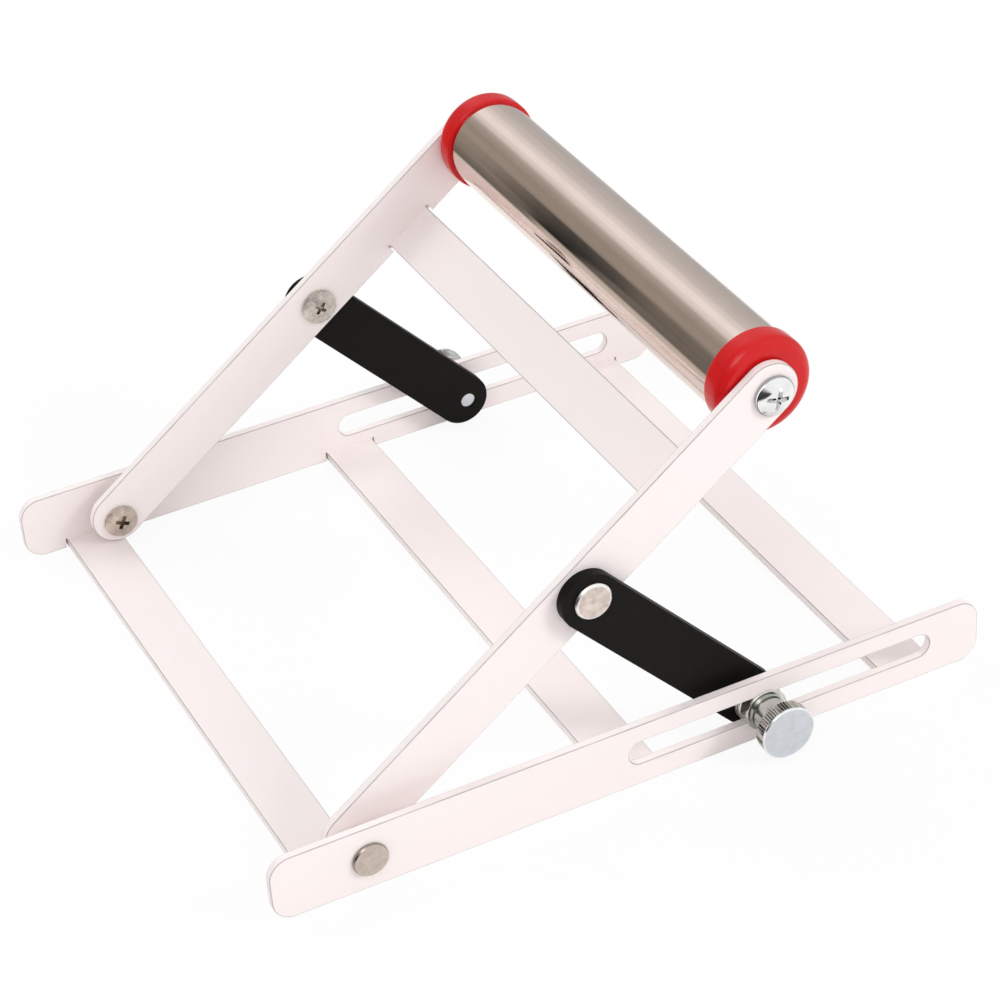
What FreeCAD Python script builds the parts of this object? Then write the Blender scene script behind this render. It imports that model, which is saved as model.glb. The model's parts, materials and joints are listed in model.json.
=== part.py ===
import FreeCAD
import Part

import math
import os

os.makedirs("parts", exist_ok=True)

# Material support stand: a folding roller rest that carries long stock beside a saw.
# Lengths are in millimetres and angles in degrees. +X runs from the hinge end to the slot end,
# +Y runs along the roller and +Z is up. The origin is on the surface the stand rests on,
# under the middle of the base.

# Bent sheet, shared by the base and the swing frame
sheet_thickness = 3.0
bend_inner_radius = 0.3
bend_outer_radius = 0.9
relief_width = 0.9
relief_past_bend = 0.1

# Base: two rails on edge, joined by flat strips bent out of their lower edges
rail_length = 258.0
rail_height = 23.6
rail_corner_radius = 7.5
base_width = 228.0
strip_width = 18.5
strip_to_rail_end = 15.75
strip_count = 3
slot_to_rail_end = 18.8
slot_length = 113.9
slot_height = 9.0
slot_centre_height = 12.5

# Swing frame: two arms, joined by one flat strip below the roller
hinge_from_end = 33.5
hinge_height = 11.5
arm_angle = 36.0
arm_width = 19.8
arm_hole_offset = 1.6
arm_end_setback = 0.6
link_pivot_reach = 105.5
roller_reach = 190.0
arm_strip_width = 19.0
arm_strip_to_cap = 14.9
spacer_length = 7.5
spacer_radius = 5.5

# Links: flat bars between each arm and its rail, held in the slot by a thumb screw
link_thickness = 4.0
link_width = 20.0
link_edge_chamfer = 0.5
link_hole_offset = 0.8
link_end_setback = 2.5
clamp_reach = 142.3
clamp_height = 11.1

# Hinge posts: a round head with a hollow barrel, closed by a cross-recessed screw
post_barrel_radius = 4.0
post_head_radius = 6.5
post_head_height = 1.9
post_head_bevel = 0.6
post_screw_radius = 2.5
post_screw_length = 7.0
post_screw_head_height = 2.2
post_screw_rim_height = 1.1
post_end_play = 0.1

# Thumb screws, with a washer outside the rail and a threaded collar inside it
thumb_thread_radius = 3.0
thumb_relief_radius = 2.5
thumb_relief_margin = 1.2
thumb_tip_setback = 0.3
thumb_neck_radius = 6.0
thumb_neck_length = 8.0
thumb_neck_groove_setback = 1.8
thumb_neck_groove_length = 1.2
thumb_neck_groove_depth = 1.0
thumb_head_radius = 9.5
thumb_head_length = 5.8
thumb_face_length = 0.8
thumb_face_bevel = 0.4
knurl_count = 60
knurl_depth = 0.45
knurl_below_face = 0.1
washer_radius = 7.6
washer_thickness = 1.2
collar_radius = 8.0

# Roller: a steel tube on two flanged plastic caps, turning on a fixed axle
tube_radius = 16.0
tube_wall = 1.5
cap_flange_radius = 17.2
cap_flange_length = 9.6
cap_edge_radius = 4.2
cap_edge_steps = 6
cap_plug_length = 12.0
cap_plug_wall = 2.5
cap_hub_radius = 8.0
cap_face_recess_radius = 7.6
cap_face_recess_depth = 1.2
cap_to_arm = 0.8
axle_radius = 5.0
axle_tap_length = 16.0
roller_screw_radius = 3.0
roller_screw_length = 14.0
roller_screw_head_radius = 6.9
roller_screw_head_height = 3.9
roller_screw_rim_height = 1.3

# Cross recesses in the screw heads
recess_length_share = 0.95
recess_width_share = 0.17
recess_depth_share = 0.62
roller_screw_turn = 12.0
base_post_screw_turn = 25.0
link_post_screw_turn = 40.0

# Clearances and cuts
running_clearance = 0.08
seat_clearance = 0.1
bolt_clearance = 0.2
cut_overrun = 1.0

# Places that follow from the sizes above
half_width = base_width / 2
rail_inner = half_width - sheet_thickness
arm_outer = rail_inner - spacer_length
arm_inner = arm_outer - sheet_thickness
link_outer = arm_outer + link_thickness
relief_depth = sheet_thickness + bend_inner_radius + relief_past_bend
strip_pitch = (rail_length - 2 * strip_to_rail_end - strip_width) / (strip_count - 1)
arm_strip_start = roller_reach - cap_flange_radius - arm_strip_to_cap - arm_strip_width
rail_start = -rail_length / 2
hinge_x = rail_start + hinge_from_end
arm_radians = math.radians(arm_angle)
link_pivot_x = hinge_x + link_pivot_reach * math.cos(arm_radians)
link_pivot_height = hinge_height + link_pivot_reach * math.sin(arm_radians)
roller_x = hinge_x + roller_reach * math.cos(arm_radians)
roller_height = hinge_height + roller_reach * math.sin(arm_radians)
clamp_x = hinge_x + clamp_reach
link_run = clamp_x - link_pivot_x
link_drop = link_pivot_height - clamp_height
link_reach = math.hypot(link_run, link_drop)
link_angle = math.degrees(math.atan2(link_drop, link_run))
post_bore_radius = post_screw_radius + seat_clearance
post_end = -arm_inner + post_end_play
cap_outer = arm_inner - cap_to_arm
tube_end = cap_outer - cap_flange_length

origin = FreeCAD.Vector(0, 0, 0)
x_axis = FreeCAD.Vector(1, 0, 0)
y_axis = FreeCAD.Vector(0, 1, 0)


def point(x, z, y=0):
    return FreeCAD.Vector(x, y, z)


def one_solid(shape):
    return shape.removeSplitter().Solids[0]


def arc(first, middle, last):
    return Part.Arc(first, middle, last).toShape()


def corner(centre_x, centre_z, radius, start_degrees, sweep_degrees=90):
    # A circular arc in the XZ plane, its angle counted from +X towards +Z
    ends = []
    for share in (0, 0.5, 1):
        turn = math.radians(start_degrees + share * sweep_degrees)
        ends.append(point(centre_x + radius * math.cos(turn), centre_z + radius * math.sin(turn)))
    return ends


def outline_face(arcs):
    # Joins arcs, given in order round the outline, with straight lines between them
    edges = []
    for index, ends in enumerate(arcs):
        following = arcs[(index + 1) % len(arcs)]
        edges.append(arc(*ends))
        edges.append(Part.LineSegment(ends[2], following[0]).toShape())
    return Part.Face(Part.Wire(edges))


def rounded_rectangle(x_low, z_low, x_high, z_high, radius):
    return outline_face([
        corner(x_high - radius, z_high - radius, radius, 0),
        corner(x_low + radius, z_high - radius, radius, 90),
        corner(x_low + radius, z_low + radius, radius, 180),
        corner(x_high - radius, z_low + radius, radius, 270),
    ])


def round_ended_bar(x_low, x_high, centre_z, radius):
    # A bar with full round ends; x_low and x_high are the centres of the ends
    return outline_face([
        corner(x_high, centre_z, radius, -90, 180),
        corner(x_low, centre_z, radius, 90, 180),
    ])


def plate(face, y_low, thickness):
    solid = face.extrude(point(0, 0, thickness))
    solid.translate(point(0, 0, y_low))
    return solid


def block(x_low, x_high, y_low, y_high, z_low, z_high):
    corner_point = FreeCAD.Vector(x_low, y_low, z_low)
    return Part.makeBox(x_high - x_low, y_high - y_low, z_high - z_low, corner_point)


def pin(x, z, radius, y_low, y_high):
    return Part.makeCylinder(radius, y_high - y_low, point(x, z, y_low), y_axis)


def turned(profile, x, z):
    # Revolves a closed profile of (radius, y) corners about an axis along Y through (x, z)
    corners = [FreeCAD.Vector(radius, y, 0) for radius, y in profile]
    corners.append(corners[0])
    solid = Part.Face(Part.makePolygon(corners)).revolve(origin, y_axis, 360)
    solid.translate(point(x, z))
    return solid


def rounded_rim(radius, y, rounding, steps):
    # Profile corners of a rim rounded off by a quarter turn, from the face at y to the side
    corners = []
    for step in range(steps + 1):
        turn = math.pi / 2 * step / steps
        corners.append((radius - rounding * (1 - math.sin(turn)), y + rounding * (1 - math.cos(turn))))
    return corners


def mirrored(shape):
    return shape.mirror(origin, y_axis)


def placed(shape, angle, x, z):
    # Tips a piece drawn along +X upwards by the angle, then moves its origin to (x, z)
    shape = shape.copy()
    shape.rotate(origin, y_axis, -angle)
    shape.translate(point(x, z))
    return shape


def strip_section(x, outer):
    # The U of a cross strip: a flat floor, two bends and two short legs, at one X
    inner = outer - sheet_thickness
    slant = math.sqrt(0.5)
    edges = []
    for radius, y_wall, floor in (
        (bend_outer_radius, outer, 0),
        (bend_inner_radius, inner, sheet_thickness),
    ):
        bend_y = y_wall - radius
        bend_z = floor + radius
        left = [
            FreeCAD.Vector(x, -y_wall, bend_z),
            FreeCAD.Vector(x, -bend_y - radius * slant, bend_z - radius * slant),
            FreeCAD.Vector(x, -bend_y, floor),
        ]
        right = [FreeCAD.Vector(x, -corner_point.y, corner_point.z) for corner_point in left]
        edges.append(arc(*left))
        edges.append(arc(*right))
        edges.append(Part.LineSegment(left[2], right[2]).toShape())
        for bend in (left, right):
            top = FreeCAD.Vector(x, bend[0].y, relief_depth)
            edges.append(Part.LineSegment(bend[0], top).toShape())
    for side in (-1, 1):
        top_outer = FreeCAD.Vector(x, side * outer, relief_depth)
        top_inner = FreeCAD.Vector(x, side * inner, relief_depth)
        edges.append(Part.LineSegment(top_outer, top_inner).toShape())
    return Part.Face(Part.Wire(Part.sortEdges(edges)[0]))


def bent_frame(side_face, outer, strips):
    # Two mirrored side plates with their lower edge at z = 0, joined by strips bent from that edge
    sides = plate(side_face, -outer, sheet_thickness)
    sides = sides.fuse(mirrored(sides))
    for start, width in strips:
        notch = block(
            start - relief_width, start + width + relief_width,
            -outer - cut_overrun, outer + cut_overrun,
            -cut_overrun, relief_depth,
        )
        sides = sides.cut(notch)
    for start, width in strips:
        strip = strip_section(start, outer).extrude(x_axis * width)
        sides = sides.fuse(strip)
    return one_solid(sides)


def make_base():
    side = rounded_rectangle(rail_start, 0, rail_start + rail_length, rail_height, rail_corner_radius)
    strips = []
    for index in range(strip_count):
        centre = (index - (strip_count - 1) / 2) * strip_pitch
        strips.append((centre - strip_width / 2, strip_width))
    frame = bent_frame(side, half_width, strips)
    slot_radius = slot_height / 2
    slot_high = rail_start + rail_length - slot_to_rail_end - slot_radius
    slot_low = slot_high - slot_length + slot_height
    slot = round_ended_bar(slot_low, slot_high, slot_centre_height, slot_radius)
    cut_width = base_width + 2 * cut_overrun
    frame = frame.cut(plate(slot, -cut_width / 2, cut_width))
    hole = pin(hinge_x, hinge_height, post_barrel_radius + seat_clearance, -cut_width / 2, cut_width / 2)
    return one_solid(frame.cut(hole))


def make_swing_frame():
    # Drawn lying along +X with the arms' lower edge at z = 0
    half_arm = arm_width / 2
    hole_height = half_arm - arm_hole_offset
    side = round_ended_bar(arm_end_setback, roller_reach, half_arm, half_arm)
    frame = bent_frame(side, arm_outer, [(arm_strip_start, arm_strip_width)])
    cut_half = arm_outer + cut_overrun
    for x, radius in (
        (0, post_barrel_radius + running_clearance),
        (link_pivot_reach, post_barrel_radius + seat_clearance),
        (roller_reach, roller_screw_radius + bolt_clearance),
    ):
        frame = frame.cut(pin(x, hole_height, radius, -cut_half, cut_half))
    frame.translate(point(0, -hole_height))
    return one_solid(placed(frame, arm_angle, hinge_x, hinge_height))


def make_link():
    # The near link; its upper hole is at the drawing's origin and its lower hole along +X
    outline = round_ended_bar(0, link_reach - link_end_setback, -link_hole_offset, link_width / 2)
    bar = plate(outline, -link_outer, link_thickness)
    bar = bar.makeChamfer(link_edge_chamfer, bar.Edges)
    outside = -link_outer - cut_overrun
    inside = -arm_outer + cut_overrun
    bar = bar.cut(pin(0, 0, post_barrel_radius + running_clearance, outside, inside))
    bar = bar.cut(pin(link_reach, 0, thumb_thread_radius + running_clearance, outside, inside))
    return one_solid(placed(bar, -link_angle, link_pivot_x, link_pivot_height))


def cross_recess(x, z, y_top, head_radius, head_height, towards, turn):
    # Two crossed slots sunk into a head whose top is at y_top, opening in the direction towards
    length = head_radius * recess_length_share
    width = head_radius * recess_width_share
    depth = head_height * recess_depth_share
    y_ends = sorted((y_top + towards * cut_overrun, y_top - towards * depth))
    recess = block(-length / 2, length / 2, y_ends[0], y_ends[1], -width / 2, width / 2)
    recess = recess.fuse(block(-width / 2, width / 2, y_ends[0], y_ends[1], -length / 2, length / 2))
    return placed(recess, turn, x, z)


def domed_screw(x, z, y_seat, towards, head, shank_radius, shank_length, turn):
    # head holds the radius, the height of the straight rim and the height of the crown
    head_radius, rim_height, crown_height = head
    rise = crown_height - rim_height
    dome_radius = (head_radius ** 2 + rise ** 2) / (2 * rise)
    half_turn = math.asin(head_radius / dome_radius) / 2
    dome_middle = FreeCAD.Vector(
        dome_radius * math.sin(half_turn),
        y_seat + towards * (crown_height - dome_radius + dome_radius * math.cos(half_turn)),
        0,
    )
    seat = FreeCAD.Vector(0, y_seat, 0)
    seat_edge = FreeCAD.Vector(head_radius, y_seat, 0)
    rim_edge = FreeCAD.Vector(head_radius, y_seat + towards * rim_height, 0)
    crown = FreeCAD.Vector(0, y_seat + towards * crown_height, 0)
    edges = [
        Part.LineSegment(seat, seat_edge).toShape(),
        Part.LineSegment(seat_edge, rim_edge).toShape(),
        arc(rim_edge, dome_middle, crown),
        Part.LineSegment(crown, seat).toShape(),
    ]
    solid = Part.Face(Part.Wire(edges)).revolve(origin, y_axis, 360)
    solid.translate(point(x, z))
    shank_ends = sorted((y_seat, y_seat - towards * shank_length))
    solid = solid.fuse(pin(x, z, shank_radius, shank_ends[0], shank_ends[1]))
    recess = cross_recess(x, z, y_seat + towards * crown_height, head_radius, crown_height, towards, turn)
    return one_solid(solid.cut(recess))


def make_post(x, z, y_seat, y_end):
    # The near post: its bevelled head outside y_seat and its barrel reaching inwards to y_end
    y_top = y_seat - post_head_height
    return turned([
        (0, y_top),
        (post_head_radius - post_head_bevel, y_top),
        (post_head_radius, y_top + post_head_bevel),
        (post_head_radius, y_seat),
        (post_barrel_radius, y_seat),
        (post_barrel_radius, y_end),
        (post_bore_radius, y_end),
        (post_bore_radius, y_end - post_screw_length - cut_overrun),
        (0, y_end - post_screw_length - cut_overrun),
    ], x, z)


def make_post_screw(x, z, y_seat, turn):
    head = (post_head_radius, post_screw_rim_height, post_screw_head_height)
    return domed_screw(x, z, y_seat, 1, head, post_screw_radius, post_screw_length, turn)


def ring(x, z, outer_radius, inner_radius, y_low, y_high):
    return turned([
        (inner_radius, y_low),
        (outer_radius, y_low),
        (outer_radius, y_high),
        (inner_radius, y_high),
    ], x, z)


def knurled_prism(y_low, length):
    # A toothed cylinder, its teeth running along Y
    corners = []
    for index in range(2 * knurl_count):
        radius = thumb_head_radius - knurl_below_face - knurl_depth * (index % 2)
        turn = math.pi * index / knurl_count
        corners.append(point(radius * math.cos(turn), radius * math.sin(turn)))
    corners.append(corners[0])
    return plate(Part.Face(Part.makePolygon(corners)), y_low, length)


def make_thumb_screw():
    # The near one, turned in one profile from its face to the tip, with a knurled band behind the face
    washer_face = -half_width - washer_thickness
    head_back = washer_face - thumb_neck_length
    head_face = head_back - thumb_head_length
    band_start = head_face + thumb_face_length
    groove_start = head_back + thumb_neck_groove_setback
    groove_end = groove_start + thumb_neck_groove_length
    groove_radius = thumb_neck_radius - thumb_neck_groove_depth
    relief_end = -rail_inner + thumb_relief_margin
    tip = -arm_outer - thumb_tip_setback
    body = turned([
        (0, head_face),
        (thumb_head_radius - thumb_face_bevel, head_face),
        (thumb_head_radius, head_face + thumb_face_bevel),
        (thumb_head_radius, band_start),
        (thumb_neck_radius, band_start),
        (thumb_neck_radius, groove_start),
        (groove_radius, groove_start),
        (groove_radius, groove_end),
        (thumb_neck_radius, groove_end),
        (thumb_neck_radius, washer_face),
        (thumb_relief_radius, washer_face),
        (thumb_relief_radius, relief_end),
        (thumb_thread_radius, relief_end),
        (thumb_thread_radius, tip),
        (0, tip),
    ], 0, 0)
    solid = body.fuse(knurled_prism(band_start, head_back - band_start))
    solid.translate(point(clamp_x, clamp_height))
    return one_solid(solid)


def make_cap():
    # The near cap: a flange with a rounded rim outside the tube and a hollow plug inside it
    plug_radius = tube_radius - tube_wall - seat_clearance / 2
    bore = axle_radius + running_clearance
    recess_floor = -cap_outer + cap_face_recess_depth
    plug_end = -tube_end + cap_plug_length
    rim = rounded_rim(cap_flange_radius, -cap_outer, cap_edge_radius, cap_edge_steps)
    return turned([
        (bore, recess_floor),
        (cap_face_recess_radius, recess_floor),
        (cap_face_recess_radius, -cap_outer),
        *rim,
        (cap_flange_radius, -tube_end),
        (plug_radius, -tube_end),
        (plug_radius, plug_end),
        (plug_radius - cap_plug_wall, plug_end),
        (plug_radius - cap_plug_wall, -tube_end),
        (cap_hub_radius, -tube_end),
        (cap_hub_radius, plug_end),
        (bore, plug_end),
    ], roller_x, roller_height)


def make_axle():
    rod = pin(roller_x, roller_height, axle_radius, -arm_inner, arm_inner)
    tap_radius = roller_screw_radius + seat_clearance
    for y_low, y_high in (
        (-arm_inner - cut_overrun, -arm_inner + axle_tap_length),
        (arm_inner - axle_tap_length, arm_inner + cut_overrun),
    ):
        rod = rod.cut(pin(roller_x, roller_height, tap_radius, y_low, y_high))
    return one_solid(rod)


def make_tube():
    return ring(roller_x, roller_height, tube_radius, tube_radius - tube_wall, -tube_end, tube_end)


# One of each kind of piece on the near side; its twin on the far side is its mirror image
roller_head = (roller_screw_head_radius, roller_screw_rim_height, roller_screw_head_height)
near_roller_screw = domed_screw(
    roller_x, roller_height, -arm_outer, -1, roller_head,
    roller_screw_radius, roller_screw_length, roller_screw_turn,
)
near_spacer = ring(
    hinge_x, hinge_height, spacer_radius, post_barrel_radius + seat_clearance,
    -rail_inner, -arm_outer,
)
near_washer = ring(
    clamp_x, clamp_height, washer_radius, thumb_thread_radius + bolt_clearance,
    -half_width - washer_thickness, -half_width,
)
near_collar = ring(
    clamp_x, clamp_height, collar_radius, thumb_thread_radius + bolt_clearance,
    -rail_inner, -link_outer,
)

pieces = {
    "base_frame": make_base(),
    "swing_frame": make_swing_frame(),
    "roller_tube": make_tube(),
    "roller_axle": make_axle(),
}

# Equal fasteners of one frame share a file, as two solids
fastener_pairs = {
    "base_posts": make_post(hinge_x, hinge_height, -half_width, post_end),
    "base_post_screws": make_post_screw(hinge_x, hinge_height, post_end, base_post_screw_turn),
    "base_spacers": near_spacer,
    "link_posts": make_post(link_pivot_x, link_pivot_height, -link_outer, post_end),
    "link_post_screws": make_post_screw(link_pivot_x, link_pivot_height, post_end, link_post_screw_turn),
    "roller_screws": near_roller_screw,
}
for name, shape in fastener_pairs.items():
    pieces[name] = Part.makeCompound([shape, mirrored(shape)])

# Pieces that can move by themselves have a file for each side
near_pieces = {
    "link": make_link(),
    "roller_cap": make_cap(),
    "thumb_screw": make_thumb_screw(),
    "thumb_washer": near_washer,
    "thumb_collar": near_collar,
}
for name, shape in near_pieces.items():
    pieces["near_" + name] = shape
    pieces["far_" + name] = mirrored(shape)

for name, shape in pieces.items():
    shape.exportStep("parts/" + name + ".step")
    print(name, "solids", len(shape.Solids), "volume", round(shape.Volume), "valid", shape.isValid())
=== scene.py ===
import json
import math

import bmesh
import bpy
from mathutils import Matrix, Vector


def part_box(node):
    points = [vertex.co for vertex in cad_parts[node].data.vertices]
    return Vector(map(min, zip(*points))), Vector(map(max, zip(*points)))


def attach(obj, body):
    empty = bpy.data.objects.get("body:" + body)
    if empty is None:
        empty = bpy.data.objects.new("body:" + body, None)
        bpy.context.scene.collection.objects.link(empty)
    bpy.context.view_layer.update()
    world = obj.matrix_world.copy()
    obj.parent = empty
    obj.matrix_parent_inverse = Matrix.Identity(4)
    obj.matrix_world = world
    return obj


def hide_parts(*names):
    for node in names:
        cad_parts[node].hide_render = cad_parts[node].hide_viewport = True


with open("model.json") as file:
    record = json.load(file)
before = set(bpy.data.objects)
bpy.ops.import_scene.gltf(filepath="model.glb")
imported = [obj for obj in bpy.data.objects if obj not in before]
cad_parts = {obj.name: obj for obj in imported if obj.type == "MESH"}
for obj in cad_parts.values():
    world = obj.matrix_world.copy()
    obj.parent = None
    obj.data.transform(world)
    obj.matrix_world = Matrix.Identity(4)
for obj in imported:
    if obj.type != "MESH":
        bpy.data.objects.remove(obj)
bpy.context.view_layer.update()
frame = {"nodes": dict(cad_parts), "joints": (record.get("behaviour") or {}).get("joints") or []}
print("frame loaded:", len(frame["nodes"]), "nodes")

# Places that everything else is set out from
jointAt = {joint["name"]: Vector(joint["pos_m"]) for joint in frame["joints"]}
hingeAt = jointAt["swing_fold"]
linkPivotAt = jointAt["near_link_fold"]
rollerAt = jointAt["roller_spin"]
clampAt = jointAt["near_thumb_turn"]
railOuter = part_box("base_frame")[1].y
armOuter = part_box("swing_frame")[1].y
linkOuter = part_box("far_link")[1].y
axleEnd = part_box("roller_axle")[1].y
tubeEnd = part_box("roller_tube")[1].y
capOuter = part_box("far_roller_cap")[1].y
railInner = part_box("far_thumb_collar")[1].y
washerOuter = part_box("far_thumb_washer")[1].y
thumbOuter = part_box("far_thumb_screw")[1].y
sides = (("near", -1), ("far", 1))
overrun = 0.001             # how far a cutter reaches past what it cuts
mergeGap = 0.000001         # points closer than this become one
wellTaper = (0.2, 1.8)      # a cross recess's well at its floor and above its mouth, as shares
thumbFaceBand = 0.0008      # smooth rim in front of the thumb screw's knurls


# shared helpers

def axisPoint(place, y=0.0):
    # the point on a hinge line, where lathed pieces are centred
    return Vector((place.x, y, place.z))


def toObject(mesh, name):
    data = bpy.data.meshes.new(name)
    mesh.to_mesh(data)
    mesh.free()
    data.shade_smooth()
    piece = bpy.data.objects.new(name, data)
    bpy.context.scene.collection.objects.link(piece)
    return piece


def bakeModifiers(piece):
    # keeps the shape that the modifiers give, as a plain mesh
    view = bpy.context.evaluated_depsgraph_get()
    data = bpy.data.meshes.new_from_object(piece.evaluated_get(view))
    piece.modifiers.clear()
    piece.data = data
    return piece


def combine(piece, other, operation):
    # joins another piece to this one, or cuts it away
    change = piece.modifiers.new(operation, "BOOLEAN")
    change.operation = operation
    change.solver = "EXACT"
    change.object = other
    bpy.context.view_layer.update()
    bakeModifiers(piece)
    bpy.data.objects.remove(other)
    return piece


def cutAway(piece, cutter):
    return combine(piece, cutter, "DIFFERENCE")


def softEdges(piece, width, segments=3, angle=35.0):
    # rounds every edge sharper than the angle
    bevel = piece.modifiers.new("rounded edges", "BEVEL")
    bevel.width = width
    bevel.segments = segments
    bevel.limit_method = "ANGLE"
    bevel.angle_limit = math.radians(angle)
    bevel.use_clamp_overlap = True
    bevel.harden_normals = True
    piece.data.shade_smooth()
    return piece


def keepCreases(piece, angle=30.0):
    # shades the piece smooth except at the edges sharper than the angle
    piece.data.set_sharp_from_angle(angle=math.radians(angle))
    return piece


def dress(piece, body, nodes, material):
    piece.data.materials.clear()
    piece.data.materials.append(material)
    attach(piece, body)
    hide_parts(*nodes)
    return piece


def spinProfile(profile, centre, segments, closed=False, side=1, bothSides=False):
    # turns (radius, y) points about the Y axis; side -1 flips the piece to the near side
    mesh = bmesh.new()
    points = [mesh.verts.new((radius, y, 0.0)) for radius, y in profile]
    for start, end in zip(points, points[1:]):
        mesh.edges.new((start, end))
    if closed:
        mesh.edges.new((points[-1], points[0]))
    bmesh.ops.spin(
        mesh, geom=mesh.verts[:] + mesh.edges[:], cent=(0, 0, 0), axis=(0, 1, 0),
        angle=2 * math.pi, steps=segments, use_merge=True,
    )
    bmesh.ops.remove_doubles(mesh, verts=mesh.verts[:], dist=mergeGap)
    bmesh.ops.translate(mesh, verts=mesh.verts[:], vec=axisPoint(centre))
    if side < 0:
        bmesh.ops.scale(mesh, vec=(1, -1, 1), verts=mesh.verts[:])
    if bothSides:
        mirrorOver(mesh)
    bmesh.ops.recalc_face_normals(mesh, faces=mesh.faces[:])
    return mesh


def mirrorOver(mesh):
    # adds the same shape on the other side of the middle plane
    twin = bmesh.ops.duplicate(mesh, geom=mesh.verts[:] + mesh.edges[:] + mesh.faces[:])["geom"]
    corners = [part for part in twin if isinstance(part, bmesh.types.BMVert)]
    bmesh.ops.scale(mesh, vec=(1, -1, 1), verts=corners)


def cutCross(piece, centre, top, out, cross, bothSides=False):
    # a cross recess: two tapered blades and a four-sided well, sunk one after the other from y = top
    first, second = cross["turn"], cross["turn"] + 90.0
    for turn, shape in ((first, "blade"), (second, "blade"), (first, "well")):
        mesh = bmesh.new()
        if shape == "blade":
            corners = bmesh.ops.create_cube(mesh, size=1.0)["verts"]
            bmesh.ops.scale(mesh, vec=(cross["span"], cross["depth"] * 2, cross["blade"]), verts=corners)
            floor = [corner for corner in corners if corner.co.y < 0]
            bmesh.ops.scale(mesh, vec=(cross["floorShare"], 1, cross["bladeFloorShare"]), verts=floor)
        else:
            floorRadius, mouthRadius = [cross["well"] * taper for taper in wellTaper]
            corners = bmesh.ops.create_cone(
                mesh, cap_ends=True, segments=4, radius1=floorRadius, radius2=mouthRadius,
                depth=cross["wellDepth"] * 2, matrix=Matrix.Rotation(-math.pi / 2, 4, "X"),
            )["verts"]
            eighth = Matrix.Rotation(math.pi / 4, 3, "Y")
            bmesh.ops.rotate(mesh, cent=(0, 0, 0), matrix=eighth, verts=corners)
        spin = Matrix.Rotation(math.radians(turn), 3, "Y")
        bmesh.ops.rotate(mesh, cent=(0, 0, 0), matrix=spin, verts=corners)
        bmesh.ops.scale(mesh, vec=(1, out, 1), verts=corners)
        bmesh.ops.translate(mesh, verts=corners, vec=axisPoint(centre, top))
        if bothSides:
            mirrorOver(mesh)
        bmesh.ops.recalc_face_normals(mesh, faces=mesh.faces[:])
        cutAway(piece, toObject(mesh, "crossBlade"))
    return piece


def standUp(mesh):
    # turns an outline from the plane z = 0 into the plane y = 0
    upright = Matrix.Rotation(math.pi / 2, 3, "X")
    bmesh.ops.rotate(mesh, cent=(0, 0, 0), matrix=upright, verts=mesh.verts[:])


def flatBar(startX, endX, height, radius, segments):
    # the outline of a bar with round ends, lying along X in the plane y = 0, as one face
    mesh = bmesh.new()
    halfStep = Matrix.Rotation(math.pi / segments, 4, "Z")
    bmesh.ops.create_circle(mesh, cap_ends=True, radius=radius, segments=segments, matrix=halfStep)
    rightHalf = [corner for corner in mesh.verts if corner.co.x > 0]
    bmesh.ops.translate(mesh, verts=rightHalf, vec=(endX - startX, 0, 0))
    standUp(mesh)
    bmesh.ops.translate(mesh, verts=mesh.verts[:], vec=(startX, 0, height))
    return mesh


def thicken(mesh, lowY, highY):
    # gives a flat outline its thickness along Y
    bmesh.ops.translate(mesh, verts=mesh.verts[:], vec=(0, lowY, 0))
    raised = bmesh.ops.extrude_face_region(mesh, geom=mesh.faces[:])["geom"]
    raised = [part for part in raised if isinstance(part, bmesh.types.BMVert)]
    bmesh.ops.translate(mesh, verts=raised, vec=(0, highY - lowY, 0))
    bmesh.ops.recalc_face_normals(mesh, faces=mesh.faces[:])
    return mesh


def addBlock(mesh, low, high):
    corners = bmesh.ops.create_cube(mesh, size=1.0)["verts"]
    size = Vector(high) - Vector(low)
    bmesh.ops.scale(mesh, vec=size, verts=corners)
    bmesh.ops.translate(mesh, verts=corners, vec=Vector(low) + size / 2)


def addPin(mesh, x, z, radius, reach, segments=64):
    # a cylinder along Y right across the stand, for a hole through both sides
    turn = Matrix.Translation((x, 0, z)) @ Matrix.Rotation(math.pi / 2, 4, "X")
    bmesh.ops.create_cone(
        mesh, cap_ends=True, segments=segments, radius1=radius, radius2=radius, depth=2 * reach,
        matrix=turn,
    )


# materials

# scales are waves per metre
coatGrain = {
    "drift": 26.0,
    "edgeShadeMottle": 60.0,
    "leastEdgeShade": 0.35,
    "sheen": 240.0,
    "skin": 1300.0,
    "skinRoughness": 0.45,
}
turnedGrain = {
    "cloud": 420.0,
    "cloudDetail": 4.0,
    "cloudRoughness": 0.6,
    "cloudRange": (0.3, 0.7),
    "paintedRimBlend": 0.0002,
}
drawnGrain = {
    "along": 5.0,
    "lineDetail": 4.0,
    "lineRoughness": 0.65,
    "cloud": 60.0,
    "cloudStrength": (0.6, 1.5),
}
plasticGrain = {"flow": 70.0, "sheen": 300.0, "skin": 900.0, "specular": 0.3}
plainDetail = 2.0


def newMaterial(name):
    material = bpy.data.materials.new(name)
    material.use_nodes = True
    tree = material.node_tree
    return material, tree.nodes, tree.links, tree.nodes["Principled BSDF"]


def feed(links, value, socket):
    # links another node's output to a socket, or sets a constant on it
    if isinstance(value, bpy.types.NodeSocket):
        links.new(value, socket)
    else:
        socket.default_value = value


def maths(nodes, links, operation, *values):
    node = nodes.new("ShaderNodeMath")
    node.operation = operation
    for value, socket in zip(values, node.inputs):
        feed(links, value, socket)
    return node.outputs["Value"]


def vectorMaths(nodes, links, operation, *values):
    node = nodes.new("ShaderNodeVectorMath")
    node.operation = operation
    for value, socket in zip(values, node.inputs):
        feed(links, value, socket)
    return node.outputs["Value" if operation == "LENGTH" else "Vector"]


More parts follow.
